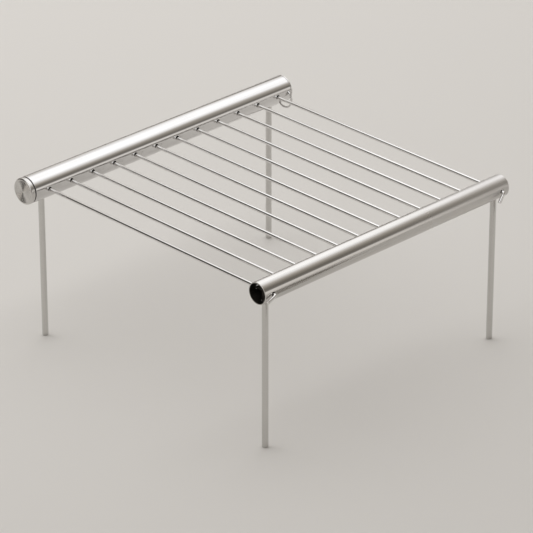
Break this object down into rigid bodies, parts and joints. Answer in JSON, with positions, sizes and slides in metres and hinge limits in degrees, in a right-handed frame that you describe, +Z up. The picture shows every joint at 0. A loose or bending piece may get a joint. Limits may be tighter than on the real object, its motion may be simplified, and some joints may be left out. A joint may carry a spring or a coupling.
{
  "type": "collapsible camp grill",
  "caption": "Knock-down camp grill of stainless steel: straight rods between a capped storage tube and an open tube, on straight legs that hooked rods pin in place.",
  "frame": {"origin": "on the ground, under the middle of the grill's box", "axes": "+X along the tubes from the screwed cap to the plugged end, +Y from the front tube to the rear storage tube, +Z up"},
  "size_m": [0.285, 0.2758, 0.144],
  "materials": {
    "tube_steel": "satin",
    "leg_steel": "satin",
    "rod_steel": "polished",
    "seal_rubber": "matte"
  },
  "bodies": {
    "rear_tube": {"rear_tube": "tube_steel", "end_plug": "tube_steel", "leg_rear_near": "leg_steel", "leg_rear_far": "leg_steel"},
    "cap_seal": {"cap_seal": "seal_rubber"},
    "end_cap": {"end_cap": "tube_steel"},
    "hanging_ring": {"hanging_ring": "rod_steel"},
    "front_tube": {"front_tube": "tube_steel", "leg_front_near": "leg_steel", "leg_front_far": "leg_steel"},
    "hook_rod_near": {"hook_rod_near": "rod_steel"},
    "hook_rod_far": {"hook_rod_far": "rod_steel"},
    "grate_rod_02": {"grate_rod_02": "rod_steel"},
    "grate_rod_03": {"grate_rod_03": "rod_steel"},
    "grate_rod_04": {"grate_rod_04": "rod_steel"},
    "grate_rod_05": {"grate_rod_05": "rod_steel"},
    "grate_rod_06": {"grate_rod_06": "rod_steel"},
    "grate_rod_07": {"grate_rod_07": "rod_steel"},
    "grate_rod_08": {"grate_rod_08": "rod_steel"},
    "grate_rod_09": {"grate_rod_09": "rod_steel"},
    "grate_rod_10": {"grate_rod_10": "rod_steel"},
    "grate_rod_11": {"grate_rod_11": "rod_steel"}
  },
  "joints": [
    {"name": "cap_travel", "type": "slide", "parent": "rear_tube", "child": "cap_seal", "axis": [-1, 0, 0], "range_m": [0, 0.009]},
    {"name": "cap_turn", "type": "hinge", "parent": "cap_seal", "child": "end_cap", "pos_m": [-0.1425, 0.1269, 0.133], "axis": [-1, 0, 0], "range_deg": [0, 2160]},
    {"name": "ring_turn", "type": "hinge", "parent": "rear_tube", "child": "hanging_ring", "pos_m": [0.1383, 0.121, 0.1271], "axis": [1, 0, 0], "continuous": true},
    {"name": "front_pull", "type": "slide", "parent": "rear_tube", "child": "front_tube", "axis": [0, -1, 0], "range_m": [0, 0.275]},
    {"name": "hook_pull_near", "type": "slide", "parent": "front_tube", "child": "hook_rod_near", "axis": [0, -1, 0], "range_m": [0, 0.275]},
    {"name": "hook_pull_far", "type": "slide", "parent": "front_tube", "child": "hook_rod_far", "axis": [0, -1, 0], "range_m": [0, 0.275]},
    {"name": "rod_play_02", "type": "slide", "parent": "rear_tube", "child": "grate_rod_02", "axis": [0, 1, 0], "range_m": [-0.0028, 0.0028]},
    {"name": "rod_play_03", "type": "slide", "parent": "rear_tube", "child": "grate_rod_03", "axis": [0, 1, 0], "range_m": [-0.0028, 0.0028]},
    {"name": "rod_play_04", "type": "slide", "parent": "rear_tube", "child": "grate_rod_04", "axis": [0, 1, 0], "range_m": [-0.0028, 0.0028]},
    {"name": "rod_play_05", "type": "slide", "parent": "rear_tube", "child": "grate_rod_05", "axis": [0, 1, 0], "range_m": [-0.0028, 0.0028]},
    {"name": "rod_play_06", "type": "slide", "parent": "rear_tube", "child": "grate_rod_06", "axis": [0, 1, 0], "range_m": [-0.0028, 0.0028]},
    {"name": "rod_play_07", "type": "slide", "parent": "rear_tube", "child": "grate_rod_07", "axis": [0, 1, 0], "range_m": [-0.0028, 0.0028]},
    {"name": "rod_play_08", "type": "slide", "parent": "rear_tube", "child": "grate_rod_08", "axis": [0, 1, 0], "range_m": [-0.0028, 0.0028]},
    {"name": "rod_play_09", "type": "slide", "parent": "rear_tube", "child": "grate_rod_09", "axis": [0, 1, 0], "range_m": [-0.0028, 0.0028]},
    {"name": "rod_play_10", "type": "slide", "parent": "rear_tube", "child": "grate_rod_10", "axis": [0, 1, 0], "range_m": [-0.0028, 0.0028]},
    {"name": "rod_play_11", "type": "slide", "parent": "rear_tube", "child": "grate_rod_11", "axis": [0, 1, 0], "range_m": [-0.0028, 0.0028]}
  ],
  "couplings": [
    {"joint": "cap_travel", "follows": "cap_turn", "m_per_rad": 0.00023873}
  ]
}
